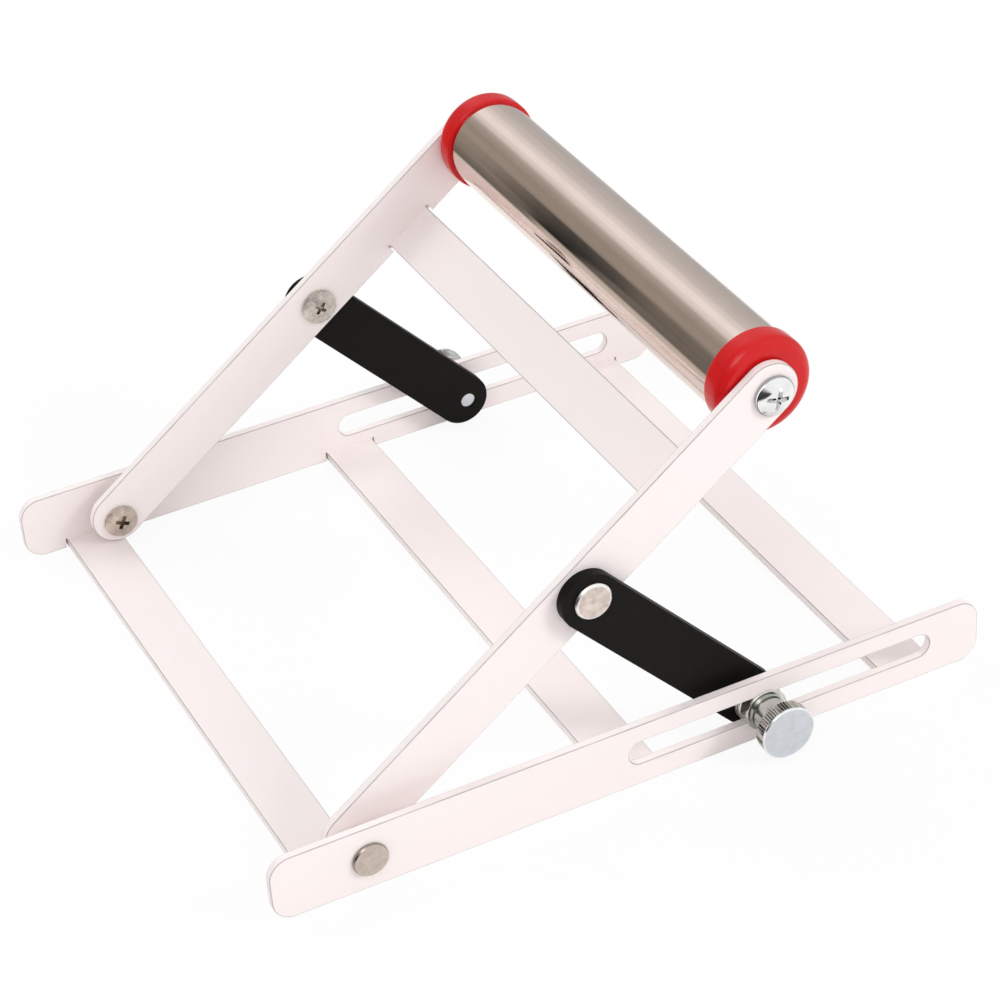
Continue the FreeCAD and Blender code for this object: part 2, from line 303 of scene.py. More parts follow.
def splitAxes(nodes, links, point):
    split = nodes.new("ShaderNodeSeparateXYZ")
    links.new(point, split.inputs["Vector"])
    return split.outputs["X"], split.outputs["Y"], split.outputs["Z"]


def objectPoint(nodes, links, centre=(0, 0, 0)):
    place = nodes.new("ShaderNodeTexCoord")
    shift = nodes.new("ShaderNodeMapping")
    shift.inputs["Location"].default_value = [-value for value in centre]
    links.new(place.outputs["Object"], shift.inputs["Vector"])
    return shift.outputs["Vector"]


def noise(nodes, links, point, scale, detail=3.0, roughness=0.5):
    texture = nodes.new("ShaderNodeTexNoise")
    texture.inputs["Scale"].default_value = scale
    texture.inputs["Detail"].default_value = detail
    texture.inputs["Roughness"].default_value = roughness
    links.new(point, texture.inputs["Vector"])
    return texture.outputs["Fac"]


def spread(nodes, links, value, low, high):
    # maps a 0 to 1 pattern onto the range low to high
    ranged = nodes.new("ShaderNodeMapRange")
    ranged.inputs["To Min"].default_value = low
    ranged.inputs["To Max"].default_value = high
    links.new(value, ranged.inputs["Value"])
    return ranged.outputs["Result"]


def share(nodes, links, value, start, end, shape="LINEAR"):
    # how far a value has come from start to end, as 0 to 1
    ranged = nodes.new("ShaderNodeMapRange")
    ranged.interpolation_type = shape
    ranged.inputs["From Min"].default_value = start
    ranged.inputs["From Max"].default_value = end
    links.new(value, ranged.inputs["Value"])
    return ranged.outputs["Result"]


def blendColours(nodes, links, value, first, second):
    # each colour is three numbers or another node's output
    mix = nodes.new("ShaderNodeMix")
    mix.data_type = "RGBA"
    for colour, socket in ((first, mix.inputs["A"]), (second, mix.inputs["B"])):
        feed(links, (*colour, 1.0) if isinstance(colour, tuple) else colour, socket)
    links.new(value, mix.inputs["Factor"])
    return mix.outputs["Result"]


def addBump(nodes, links, shader, height, distance):
    bump = nodes.new("ShaderNodeBump")
    bump.inputs["Distance"].default_value = distance
    bump.inputs["Strength"].default_value = 1.0
    links.new(height, bump.inputs["Height"])
    links.new(bump.outputs["Normal"], shader.inputs["Normal"])


def powderCoat(name, colour, shade, gloss, peel, specular, edgeShade=None):
    # baked powder paint: a faint orange peel, and a tone that drifts slightly over the sheet;
    # on the rounded edges that the mesh marks, a mottled grey is laid on as painted shade for the dark lines
    # along them
    material, nodes, links, shader = newMaterial(name)
    point = objectPoint(nodes, links)
    drift = noise(nodes, links, point, coatGrain["drift"], plainDetail)
    tone = blendColours(nodes, links, drift, colour, shade)
    # painted shade: a mottled grey on the rounded edges that the mesh marks
    if edgeShade:
        edges = nodes.new("ShaderNodeAttribute")
        edges.attribute_name = "paintedEdgeShade"
        patches = noise(nodes, links, point, coatGrain["edgeShadeMottle"])
        patches = spread(nodes, links, patches, coatGrain["leastEdgeShade"], 1.0)
        edgeShadeMottle = maths(nodes, links, "MULTIPLY", edges.outputs["Fac"], patches)
        tone = blendColours(nodes, links, edgeShadeMottle, tone, edgeShade)
    links.new(tone, shader.inputs["Base Color"])
    sheen = noise(nodes, links, point, coatGrain["sheen"])
    links.new(spread(nodes, links, sheen, *gloss), shader.inputs["Roughness"])
    skin = noise(nodes, links, point, coatGrain["skin"], plainDetail, coatGrain["skinRoughness"])
    addBump(nodes, links, shader, skin, peel)
    shader.inputs["Specular IOR Level"].default_value = specular
    return material


def turnedMetal(name, centre, colour, shade, gloss, ringDepth, ringPitch, rim=None, back=None):
    # plated metal with fine lathe rings about an axis along Y; rim is the radius and the colour of a ring
    # painted round the edge, a painted highlight when pale and painted shade when dark;
    # back the two Ys and the colour of painted shade laid on the part behind the face
    material, nodes, links, shader = newMaterial(name)
    point = objectPoint(nodes, links, axisPoint(centre))
    flat = vectorMaths(nodes, links, "MULTIPLY", point, (1.0, 0.0, 1.0))
    radius = vectorMaths(nodes, links, "LENGTH", flat)
    ring = nodes.new("ShaderNodeTexNoise")
    ring.noise_dimensions = "1D"
    ring.inputs["Scale"].default_value = 1.0 / ringPitch
    ring.inputs["Detail"].default_value = plainDetail
    links.new(radius, ring.inputs["W"])
    cloud = noise(
        nodes, links, point, turnedGrain["cloud"], turnedGrain["cloudDetail"], turnedGrain["cloudRoughness"],
    )
    cloud = share(nodes, links, cloud, *turnedGrain["cloudRange"])
    tone = blendColours(nodes, links, cloud, colour, shade)
    # a ring painted round the edge: a painted highlight when its colour is pale, painted shade when dark
    if rim:
        rimRadius, paintedRimColour = rim
        edge = share(nodes, links, radius, rimRadius - turnedGrain["paintedRimBlend"], rimRadius)
        tone = blendColours(nodes, links, edge, tone, paintedRimColour)
    # painted shade: a darker colour on the part behind the face
    if back:
        low, high, backShadeColour = back
        depth = maths(nodes, links, "ABSOLUTE", splitAxes(nodes, links, point)[1])
        behind = maths(nodes, links, "COMPARE", depth, (low + high) / 2, (high - low) / 2)
        tone = blendColours(nodes, links, behind, tone, backShadeColour)
    links.new(tone, shader.inputs["Base Color"])
    links.new(spread(nodes, links, cloud, *gloss), shader.inputs["Roughness"])
    addBump(nodes, links, shader, ring.outputs["Fac"], ringDepth)
    shader.inputs["Metallic"].default_value = 1.0
    return material


def drawnSteel(name, centre, colour, shade, gloss, lineDepth, linePitch):
    # a drawn tube: fine lines along it, which break each reflection into streaks
    material, nodes, links, shader = newMaterial(name)
    point = objectPoint(nodes, links, axisPoint(centre))
    stretch = nodes.new("ShaderNodeMapping")
    stretch.inputs["Scale"].default_value = (1.0 / linePitch, drawnGrain["along"], 1.0 / linePitch)
    links.new(point, stretch.inputs["Vector"])
    line = noise(
        nodes, links, stretch.outputs["Vector"], 1.0, drawnGrain["lineDetail"], drawnGrain["lineRoughness"],
    )
    cloud = noise(nodes, links, point, drawnGrain["cloud"])
    strength = spread(nodes, links, cloud, *drawnGrain["cloudStrength"])
    streak = maths(nodes, links, "MULTIPLY", line, strength)
    links.new(blendColours(nodes, links, streak, colour, shade), shader.inputs["Base Color"])
    links.new(spread(nodes, links, cloud, *gloss), shader.inputs["Roughness"])
    addBump(nodes, links, shader, line, lineDepth)
    shader.inputs["Metallic"].default_value = 1.0
    return material


def mouldedPlastic(name, colour, shade, gloss, grainDepth):
    material, nodes, links, shader = newMaterial(name)
    point = objectPoint(nodes, links)
    flow = noise(nodes, links, point, plasticGrain["flow"], plainDetail)
    links.new(blendColours(nodes, links, flow, colour, shade), shader.inputs["Base Color"])
    sheen = noise(nodes, links, point, plasticGrain["sheen"])
    links.new(spread(nodes, links, sheen, *gloss), shader.inputs["Roughness"])
    addBump(nodes, links, shader, noise(nodes, links, point, plasticGrain["skin"], plainDetail), grainDepth)
    shader.inputs["Specular IOR Level"].default_value = plasticGrain["specular"]
    return material


# the grey given for the marked edges is painted shade along the rounded edges
whiteCoat = powderCoat(
    "white powder coat", colour=(0.965, 0.885, 0.880), shade=(0.95, 0.875, 0.865), gloss=(0.34, 0.46),
    peel=0.000035, specular=0.3, edgeShade=(0.36, 0.35, 0.34),
)
blackCoat = powderCoat(
    "black powder coat", colour=(0.0055, 0.005, 0.0042), shade=(0.0085, 0.0075, 0.0065), gloss=(0.42, 0.56),
    peel=0.00003, specular=0.1,
)
redPlastic = mouldedPlastic(
    "red moulded plastic", colour=(0.70, 0.011, 0.013), shade=(0.54, 0.008, 0.010), gloss=(0.10, 0.20),
    grainDepth=0.000006,
)
tubeSteel = drawnSteel(
    "drawn steel tube", rollerAt, colour=(0.94, 0.795, 0.72), shade=(0.73, 0.61, 0.545), gloss=(0.04, 0.11),
    lineDepth=0.000004, linePitch=0.0009,
)
axleSteel = drawnSteel(
    "turned axle steel", rollerAt, colour=(0.6, 0.59, 0.57), shade=(0.54, 0.53, 0.51), gloss=(0.2, 0.36),
    lineDepth=0.00001, linePitch=0.0004,
)
# the rim's dark ring is painted shade round the head's edge
baseNickel = turnedMetal(
    "nickel on the base posts", hingeAt, colour=(0.68, 0.585, 0.52), shade=(0.54, 0.46, 0.405),
    gloss=(0.2, 0.36), ringDepth=0.000012, ringPitch=0.00025, rim=(0.0059, (0.36, 0.31, 0.275)),
)
# the rim's pale ring is a painted highlight on the head's bevel
linkNickel = turnedMetal(
    "nickel on the link posts", linkPivotAt, colour=(0.86, 0.75, 0.69), shade=(0.62, 0.53, 0.48),
    gloss=(0.2, 0.38), ringDepth=0.00002, ringPitch=0.0004, rim=(0.0057, (0.96, 0.93, 0.90)),
)
baseScrewNickel = turnedMetal(
    "nickel on the base screws", hingeAt, colour=(0.72, 0.63, 0.56), shade=(0.50, 0.42, 0.36),
    gloss=(0.16, 0.34), ringDepth=0.00003, ringPitch=0.0006,
)
linkScrewNickel = turnedMetal(
    "nickel on the link screws", linkPivotAt, colour=(0.70, 0.64, 0.59), shade=(0.46, 0.42, 0.38),
    gloss=(0.16, 0.36), ringDepth=0.00004, ringPitch=0.0008,
)
clampNickel = turnedMetal(
    "nickel on the clamp rings", clampAt, colour=(0.80, 0.79, 0.76), shade=(0.70, 0.69, 0.66),
    gloss=(0.14, 0.28), ringDepth=0.00001, ringPitch=0.0003,
)
# the rim's pale ring is a painted highlight on the face's chamfer; the back colour is painted shade on the
# knurls and neck
knobSteel = turnedMetal(
    "plated thumb screw", clampAt, colour=(0.75, 0.785, 0.83), shade=(0.67, 0.70, 0.75),
    gloss=(0.12, 0.24), ringDepth=0.000003, ringPitch=0.0003, rim=(0.0091, (0.93, 0.95, 0.97)),
    back=(washerOuter, thumbOuter - thumbFaceBand, (0.58, 0.59, 0.56)),
)
# the rim's dark ring is painted shade round the head's edge
screwChrome = turnedMetal(
    "bright chrome", rollerAt, colour=(0.93, 0.93, 0.935), shade=(0.89, 0.89, 0.895),
    gloss=(0.05, 0.12), ringDepth=0.000002, ringPitch=0.0005, rim=(0.0067, (0.42, 0.43, 0.43)),
)
print("materials ready")


# bent sheet frames

sheet = {
    "thickness": 0.003,
    "reliefWidth": 0.0008,
    "reliefDepth": 0.0037,
    "reliefSkin": 0.0004,    # the coat bridges the notch at the outer face
    "stripInset": 0.0006,    # a strip ends this far inside the outer faces
    "edge": 0.0003,          # rounding of the sheared edges
    "edgeSteps": 3,
    "sharpAngle": 60.0,      # sheared edges are those sharper than this
    "flatAngle": 0.5,        # faces that differ by less become one
    "flatArea": 0.0005,      # faces larger than this keep one plain normal
    "flatWeight": 100,
    "creaseAngle": 40.0,
}
rail = {
    "cornerRadius": 0.0075,
    "cornerSteps": 14,
    "stripWidth": 0.0185,
    "stripToEnd": 0.01575,
    "stripCount": 3,
    "slotToEnd": 0.0188,
    "slotLength": 0.1139,
    "slotHeight": 0.009,
    "slotCentre": 0.0125,
    "postHole": 0.0041,
    "segments": 64,
}
arm = {
    "width": 0.0198,
    "holeOffset": 0.0016,
    "endSetback": 0.0006,
    "stripStart": 0.1389,
    "stripWidth": 0.019,
    "hingeHole": 0.00408,
    "linkHole": 0.0041,
    "rollerHole": 0.0032,
    "segments": 72,
}


def cutReliefs(mesh, start, width, reach):
    # the two narrow notches beside a strip
    reach -= sheet["reliefSkin"]
    for low in (start - sheet["reliefWidth"], start + width):
        high = low + sheet["reliefWidth"]
        addBlock(mesh, (low, -reach, -overrun), (high, reach, sheet["reliefDepth"]))


def roundSheet(piece):
    # rounds the sheared edges and marks the new faces, which get painted edge shade
    mesh = bmesh.new()
    mesh.from_mesh(piece.data)
    bmesh.ops.remove_doubles(mesh, verts=mesh.verts[:], dist=mergeGap)
    flat = math.radians(sheet["flatAngle"])
    bmesh.ops.dissolve_limit(mesh, angle_limit=flat, verts=mesh.verts[:], edges=mesh.edges[:])
    # the mark for the painted shade on the rounded edges
    edgeShade = mesh.faces.layers.float.new("paintedEdgeShade")
    limit = math.radians(sheet["sharpAngle"])
    sharp = [edge for edge in mesh.edges if edge.is_manifold and edge.calc_face_angle() > limit]
    made = bmesh.ops.bevel(
        mesh, geom=sharp, offset=sheet["edge"], offset_type="OFFSET", segments=sheet["edgeSteps"],
        profile=0.5, affect="EDGES", material=-1,
    )["faces"]
    for face in made:
        face[edgeShade] = 1.0
    mesh.to_mesh(piece.data)
    mesh.free()
    return piece


def levelSheet(piece):
    # keeps the large faces plainly flat and the small ones smooth up to each crease
    for face in piece.data.polygons:
        face.use_smooth = face.area < sheet["flatArea"]
    keepCreases(piece, sheet["creaseAngle"])
    even = piece.modifiers.new("flat faces", "WEIGHTED_NORMAL")
    even.weight = sheet["flatWeight"]
    even.keep_sharp = True
    return piece


def makeBase():
    low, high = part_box("base_frame")
    mesh = bmesh.new()
    bmesh.ops.create_grid(mesh, x_segments=1, y_segments=1, size=0.5)
    bmesh.ops.scale(mesh, vec=(high.x - low.x, high.z - low.z, 1), verts=mesh.verts[:])
    bmesh.ops.bevel(
        mesh, geom=mesh.verts[:], offset=rail["cornerRadius"], segments=rail["cornerSteps"],
        profile=0.5, affect="VERTICES", material=-1,
    )
    standUp(mesh)
    middle = ((low.x + high.x) / 2, 0, (low.z + high.z) / 2)
    bmesh.ops.translate(mesh, verts=mesh.verts[:], vec=middle)
    thicken(mesh, high.y - sheet["thickness"], high.y)
    mirrorOver(mesh)
    bmesh.ops.recalc_face_normals(mesh, faces=mesh.faces[:])
    piece = toObject(mesh, "baseFrame")
    hole = bmesh.new()
    addPin(hole, hingeAt.x, hingeAt.z, rail["postHole"], high.y + overrun)
    cutAway(piece, toObject(hole, "postHole"))
    radius = rail["slotHeight"] / 2
    slotEnd = high.x - rail["slotToEnd"] - radius
    slotStart = slotEnd - rail["slotLength"] + 2 * radius
    slot = flatBar(slotStart, slotEnd, rail["slotCentre"], radius, rail["segments"])
    cutAway(piece, toObject(thicken(slot, low.y - overrun, high.y + overrun), "slot"))
    roundSheet(piece)
    strips = bmesh.new()
    cuts = bmesh.new()
    width, inset = rail["stripWidth"], sheet["stripInset"]
    pitch = (high.x - low.x - 2 * rail["stripToEnd"] - width) / (rail["stripCount"] - 1)
    for index in range(rail["stripCount"]):
        start = low.x + rail["stripToEnd"] + index * pitch
        corner = (start + width, high.y - inset, sheet["thickness"])
        addBlock(strips, (start, low.y + inset, 0), corner)
        cutReliefs(cuts, start, width, high.y)
    combine(piece, roundSheet(toObject(strips, "strips")), "UNION")
    cutAway(piece, toObject(cuts, "reliefs"))
    levelSheet(piece)
    return dress(piece, "base", ["base_frame"], whiteCoat)


def makeSwing():
    # drawn lying along X with the hinge at the origin, then tipped up about it
    reach, linkReach = [(end.xz - hingeAt.xz).length for end in (rollerAt, linkPivotAt)]
    tilt = math.atan2(rollerAt.z - hingeAt.z, rollerAt.x - hingeAt.x)
    half = arm["width"] / 2
    lower = arm["holeOffset"] - half
    mesh = flatBar(arm["endSetback"], reach, arm["holeOffset"], half, arm["segments"])
    thicken(mesh, armOuter - sheet["thickness"], armOuter)
    mirrorOver(mesh)
    bmesh.ops.recalc_face_normals(mesh, faces=mesh.faces[:])
    piece = toObject(mesh, "swingFrame")
    holes = bmesh.new()
    for x, hole in ((0, arm["hingeHole"]), (linkReach, arm["linkHole"]), (reach, arm["rollerHole"])):
        addPin(holes, x, 0, hole, armOuter + overrun)
    cutAway(piece, toObject(holes, "holes"))
    roundSheet(piece)
    start, width = arm["stripStart"], arm["stripWidth"]
    strip = bmesh.new()
    side = armOuter - sheet["stripInset"]
    addBlock(strip, (start, -side, lower), (start + width, side, lower + sheet["thickness"]))
    combine(piece, roundSheet(toObject(strip, "strip")), "UNION")
    cuts = bmesh.new()
    cutReliefs(cuts, start, width, armOuter)
    bmesh.ops.translate(cuts, verts=cuts.verts[:], vec=(0, 0, lower))
    cutAway(piece, toObject(cuts, "reliefs"))
    piece.data.transform(Matrix.Translation(axisPoint(hingeAt)) @ Matrix.Rotation(-tilt, 4, "Y"))
    levelSheet(piece)
    return dress(piece, "swing", ["swing_frame"], whiteCoat)


makeBase()
makeSwing()
print("frames done")


# links

linkBar = {
    "width": 0.020,
    "offset": 0.0008,        # centre line below the line through the two holes
    "endSetback": 0.0025,    # the lower end's arc sits this far back from its hole
    "edge": 0.0009,
    "edgeSteps": 4,
    "pivotHole": 0.00408,
    "clampHole": 0.00308,
    "segments": 72,
}


def makeLink(sideName, side):
    run = Vector((clampAt.x - linkPivotAt.x, clampAt.z - linkPivotAt.z))
    tilt = math.atan2(-run.y, run.x)
    end = run.length - linkBar["endSetback"]
    mesh = flatBar(0, end, -linkBar["offset"], linkBar["width"] / 2, linkBar["segments"])
    thicken(mesh, armOuter, linkOuter)
    bmesh.ops.rotate(mesh, cent=(0, 0, 0), matrix=Matrix.Rotation(tilt, 3, "Y"), verts=mesh.verts[:])
    bmesh.ops.translate(mesh, verts=mesh.verts[:], vec=axisPoint(linkPivotAt))
    if side < 0:
        bmesh.ops.scale(mesh, vec=(1, -1, 1), verts=mesh.verts[:])
    bmesh.ops.recalc_face_normals(mesh, faces=mesh.faces[:])
    piece = toObject(mesh, sideName + "Link")
    holes = bmesh.new()
    addPin(holes, linkPivotAt.x, linkPivotAt.z, linkBar["pivotHole"], linkOuter + overrun)
    addPin(holes, clampAt.x, clampAt.z, linkBar["clampHole"], linkOuter + overrun)
    cutAway(piece, toObject(holes, "holes"))
    softEdges(piece, linkBar["edge"], linkBar["edgeSteps"])
    return dress(piece, sideName + "_link_arm", [sideName + "_link"], blackCoat)


for sideName, side in sides:
    makeLink(sideName, side)
print("links done")


# roller: tube, caps, axle and its two screws

rollerTube = {"radius": 0.016, "wall": 0.0015, "endEdge": 0.0002, "segments": 160}
rollerCap = {
    "flange": 0.0172,
    "rimRound": 0.0042,
    "rimSteps": 14,
    "backRound": 0.0007,
    "backSteps": 4,
    "recess": 0.0076,
    "recessDepth": 0.0012,
    "bore": 0.00508,
    "hub": 0.008,
    "plug": 0.01445,
    "plugWall": 0.0025,
    "plugLength": 0.012,
    "edge": 0.0003,
    "edgeAngle": 50.0,
    "segments": 144,
}
axle = {"radius": 0.005, "tapRadius": 0.0031, "tapDepth": 0.016, "chamfer": 0.0004, "segments": 64}
panHead = {
    "domeSteps": 14,
    "seatEdge": 0.0002,
    "tipShare": 0.18,        # the tip's chamfer as a share of the shank's radius
    "crossSink": 0.0001,     # a cross is cut from this far below the crown's top
    "edgeSteps": 2,
    "edgeAngle": 40.0,
}
rollerScrew = {
    "head": 0.0069,
    "rim": 0.0011,
    "crown": 0.0039,
    "shank": 0.003,
    "length": 0.014,
    "edge": 0.00018,
    "segments": 96,
    "cross": {
        "span": 0.0135, "blade": 0.0032, "depth": 0.0015, "floorShare": 0.45, "bladeFloorShare": 0.12,
        "turn": 12.0, "well": 0.0013, "wellDepth": 0.0008,
    },
}


def roundCorner(radius, y, rounding, start, steps):
    # points of a quarter turn about (radius, y) in the profile, from the start angle
    points = []
    for step in range(steps + 1):
        angle = math.radians(start + 90.0 * step / steps)
        points.append((radius + rounding * math.cos(angle), y + rounding * math.sin(angle)))
    return points


def makeTube():
    outer, inner = rollerTube["radius"], rollerTube["radius"] - rollerTube["wall"]
    edge = rollerTube["endEdge"]
    profile = [
        (inner, -tubeEnd), (outer - edge, -tubeEnd), (outer, -tubeEnd + edge),
        (outer, tubeEnd - edge), (outer - edge, tubeEnd), (inner, tubeEnd),
    ]
    mesh = spinProfile(profile, rollerAt, rollerTube["segments"], closed=True)
    piece = toObject(mesh, "rollerTube")
    keepCreases(piece)
    return dress(piece, "roller", ["roller_tube"], tubeSteel)


def makeCap(sideName, side):
    cap = rollerCap
    flange, rimRound, backRound = cap["flange"], cap["rimRound"], cap["backRound"]
    plugInner = cap["plug"] - cap["plugWall"]
    plugEnd = tubeEnd - cap["plugLength"]
    floor = capOuter - cap["recessDepth"]
    profile = [(cap["bore"], floor), (cap["recess"], floor), (cap["recess"], capOuter)]
    rim = roundCorner(flange - rimRound, capOuter - rimRound, rimRound, 0.0, cap["rimSteps"])
    profile += rim[::-1]
    back = roundCorner(flange - backRound, tubeEnd + backRound, backRound, -90.0, cap["backSteps"])
    profile += back[::-1]
    profile += [
        (cap["plug"], tubeEnd), (cap["plug"], plugEnd), (plugInner, plugEnd), (plugInner, tubeEnd),
        (cap["hub"], tubeEnd), (cap["hub"], plugEnd), (cap["bore"], plugEnd),
    ]
    mesh = spinProfile(profile, rollerAt, cap["segments"], closed=True, side=side)
    piece = toObject(mesh, sideName + "RollerCap")
    softEdges(piece, cap["edge"], angle=cap["edgeAngle"])
    return dress(piece, "roller", [sideName + "_roller_cap"], redPlastic)


def makeAxle():
    radius, tap, depth, edge = axle["radius"], axle["tapRadius"], axle["tapDepth"], axle["chamfer"]
    profile = [
        (0.0, axleEnd - depth), (tap, axleEnd - depth), (tap, axleEnd - edge), (tap + edge, axleEnd),
        (radius - edge, axleEnd), (radius, axleEnd - edge), (radius, -axleEnd + edge),
        (radius - edge, -axleEnd), (tap + edge, -axleEnd), (tap, -axleEnd + edge),
        (tap, -axleEnd + depth), (0.0, -axleEnd + depth),
    ]
    piece = toObject(spinProfile(profile, rollerAt, axle["segments"]), "rollerAxle")
    keepCreases(piece)
    return dress(piece, "swing", ["roller_axle"], axleSteel)


def domeProfile(head, seat, shank, tip):
    # a pan head from its shank's tip round to the middle of its crown, y growing outwards
    radius, edge, steps = head["head"], panHead["seatEdge"], panHead["domeSteps"]
    rise = head["crown"] - head["rim"]
    dome = (radius ** 2 + rise ** 2) / (2 * rise)
    middle = seat + head["crown"] - dome
    chamfer = shank * panHead["tipShare"]
    points = [
        (0.0, tip), (shank - chamfer, tip), (shank, tip + chamfer), (shank, seat), (radius - edge, seat),
        (radius, seat + edge),
    ]
    edgeAngle = math.asin(radius / dome)
    for step in range(steps + 1):
        angle = edgeAngle * (1 - step / steps)
        points.append((dome * math.sin(angle), middle + dome * math.cos(angle)))
    points[-1] = (0.0, seat + head["crown"])
    return points


def makeRollerScrews():
    tip = armOuter - rollerScrew["length"]
    profile = domeProfile(rollerScrew, armOuter, rollerScrew["shank"], tip)
    mesh = spinProfile(profile, rollerAt, rollerScrew["segments"], bothSides=True)
    piece = toObject(mesh, "rollerScrews")
    top = armOuter + rollerScrew["crown"] - panHead["crossSink"]
    cutCross(piece, rollerAt, top, 1, rollerScrew["cross"], bothSides=True)
    softEdges(piece, rollerScrew["edge"], panHead["edgeSteps"], panHead["edgeAngle"])
    return dress(piece, "swing", ["roller_screws"], screwChrome)


makeTube()
for sideName, side in sides:
    makeCap(sideName, side)
makeAxle()
makeRollerScrews()
print("roller done")


# hinge posts, their screws and the spacers on them

postBody = {
    "bevel": 0.0006,
    "barrel": 0.004,
    "bore": 0.0026,
    "boreDepth": 0.008,
    "endInset": 0.0001,      # from the axle's end to the barrel's
    "dishRadius": 0.55,      # the dish's middle ring as a share of the head's radius
    "dishDepth": 0.35,       # its depth as a share of the dish's
    "edge": 0.00018,
    "edgeAngle": 25.0,
    "segments": 96,
}
basePostHead = {"head": 0.0061, "height": 0.0015, "dish": 0.0}
linkPostHead = {"head": 0.0065, "height": 0.0014, "dish": 0.00015}
postScrew = {
    "rim": 0.0010,
    "crown": 0.0022,
    "shank": 0.0025,
    "length": 0.007,
    "edge": 0.00014,
    "segments": 96,
}
baseScrewEnd = {
    "head": 0.0061,
    "cross": {
        "span": 0.0068, "blade": 0.0017, "depth": 0.0031, "floorShare": 0.6, "bladeFloorShare": 0.7,
        "turn": 25.0, "well": 0.0008, "wellDepth": 0.0006,
    },
}
linkScrewEnd = {
    "head": 0.0065,
    "cross": {
        "span": 0.0062, "blade": 0.0015, "depth": 0.0018, "floorShare": 0.6, "bladeFloorShare": 0.6,
        "turn": 40.0, "well": 0.0015, "wellDepth": 0.0008,
    },
}
spacer = {"outer": 0.0055, "inner": 0.0041, "edge": 0.0003, "segments": 80}
postEnd = axleEnd - postBody["endInset"]


def makePosts(name, body, node, place, seat, material, head):
    post = {**postBody, **head}
    radius, bevel, dish = post["head"], post["bevel"], post["dish"]
    top = seat + post["height"]
    floor = postEnd + post["boreDepth"]
    profile = [
        (0.0, top - dish), (radius * post["dishRadius"], top - dish * post["dishDepth"]),
        (radius - bevel, top), (radius, top - bevel), (radius, seat), (post["barrel"], seat),
        (post["barrel"], postEnd), (post["bore"], postEnd), (post["bore"], floor), (0.0, floor),
    ]
    piece = toObject(spinProfile(profile, place, post["segments"], bothSides=True), name)
    softEdges(piece, post["edge"], angle=post["edgeAngle"])
    return dress(piece, body, [node], material)


def makePostScrews(name, body, node, place, material, end):
    # the head faces the middle of the stand, so the profile is drawn outwards and then turned over
    profile = domeProfile({**postScrew, **end}, 0.0, postScrew["shank"], -postScrew["length"])
    profile = [(radius, postEnd - y) for radius, y in profile]
    piece = toObject(spinProfile(profile, place, postScrew["segments"], bothSides=True), name)
    top = postEnd - postScrew["crown"] + panHead["crossSink"]
    cutCross(piece, place, top, -1, end["cross"], bothSides=True)
    softEdges(piece, postScrew["edge"], panHead["edgeSteps"], panHead["edgeAngle"])
    return dress(piece, body, [node], material)


def makeSpacers():
    outer, inner, edge = spacer["outer"], spacer["inner"], spacer["edge"]
    profile = [
        (inner, armOuter), (outer - edge, armOuter), (outer, armOuter + edge),
        (outer, railInner - edge), (outer - edge, railInner), (inner, railInner),
    ]
    mesh = spinProfile(profile, hingeAt, spacer["segments"], closed=True, bothSides=True)
    piece = toObject(mesh, "baseSpacers")
    keepCreases(piece)
    return dress(piece, "base", ["base_spacers"], baseNickel)


makePosts("basePosts", "base", "base_posts", hingeAt, railOuter, baseNickel, basePostHead)
makePosts("linkPosts", "swing", "link_posts", linkPivotAt, linkOuter, linkNickel, linkPostHead)
makePostScrews("basePostScrews", "base", "base_post_screws", hingeAt, baseScrewNickel, baseScrewEnd)
makePostScrews("linkPostScrews", "swing", "link_post_screws", linkPivotAt, linkScrewNickel, linkScrewEnd)
makeSpacers()
print("posts done")


# thumb screws with their washers and collars

thumb = {
    "knurls": 60,
    "knurlDepth": 0.00042,
    "head": 0.0095,
    "headLength": 0.0058,
    "faceBevel": 0.0004,
    "shoulder": 0.0083,
    "shoulderLength": 0.0007,
    "shoulderShare": 0.6,    # the core's part of that length
    "knurlDrop": 0.0001,
    "overlap": 0.0001,       # the knurled band sinks this far into the core and the face
    "neck": 0.006,
    "grooveSetback": 0.0006,
    "grooveLength": 0.0013,
    "grooveDepth": 0.0013,
    "seatGap": 0.00003,      # the neck rests on the washer without sharing its face
    "relief": 0.0025,
    "reliefMargin": 0.0012,
    "stud": 0.003,
    "studChamfer": 0.00025,
    "tipInset": 0.0003,
    "tipRise": 0.0003,
    "edge": 0.00012,
    "edgeSteps": 2,
    "edgeAngle": 30.0,
    "segments": 96,
}
washer = {"outer": 0.0076, "inner": 0.0032, "edge": 0.0003, "segments": 96}
collar = {
    "outer": 0.008,
    "inner": 0.0032,
    "edge": 0.0004,
    "grooves": 3,
    "grooveDepth": 0.0003,
    "grooveShares": (0.3, 0.5, 0.7),    # where a groove starts, is deepest and ends in its pitch
    "creaseAngle": 25.0,
    "segments": 96,
}


def makeKnurls(side):
    # a toothed band: every second corner of the circle sits lower
    mesh = bmesh.new()
    upright = Matrix.Rotation(-math.pi / 2, 4, "X")
    radius = thumb["head"] - thumb["knurlDrop"]
    rim = bmesh.ops.create_circle(
        mesh, cap_ends=True, radius=radius, segments=thumb["knurls"] * 2, matrix=upright,
    )["verts"]
    rim = sorted(rim, key=lambda corner: math.atan2(corner.co.z, corner.co.x))
    dip = 1 - thumb["knurlDepth"] / radius
    bmesh.ops.scale(mesh, vec=(dip, 1, dip), verts=rim[::2])
    back = thumbOuter - thumb["headLength"] + thumb["shoulderLength"]
    thicken(mesh, back, thumbOuter - thumbFaceBand + thumb["overlap"])
    bmesh.ops.translate(mesh, verts=mesh.verts[:], vec=axisPoint(clampAt))
    bmesh.ops.scale(mesh, vec=(1, side, 1), verts=mesh.verts[:])
    bmesh.ops.recalc_face_normals(mesh, faces=mesh.faces[:])
    return toObject(mesh, "knurls")


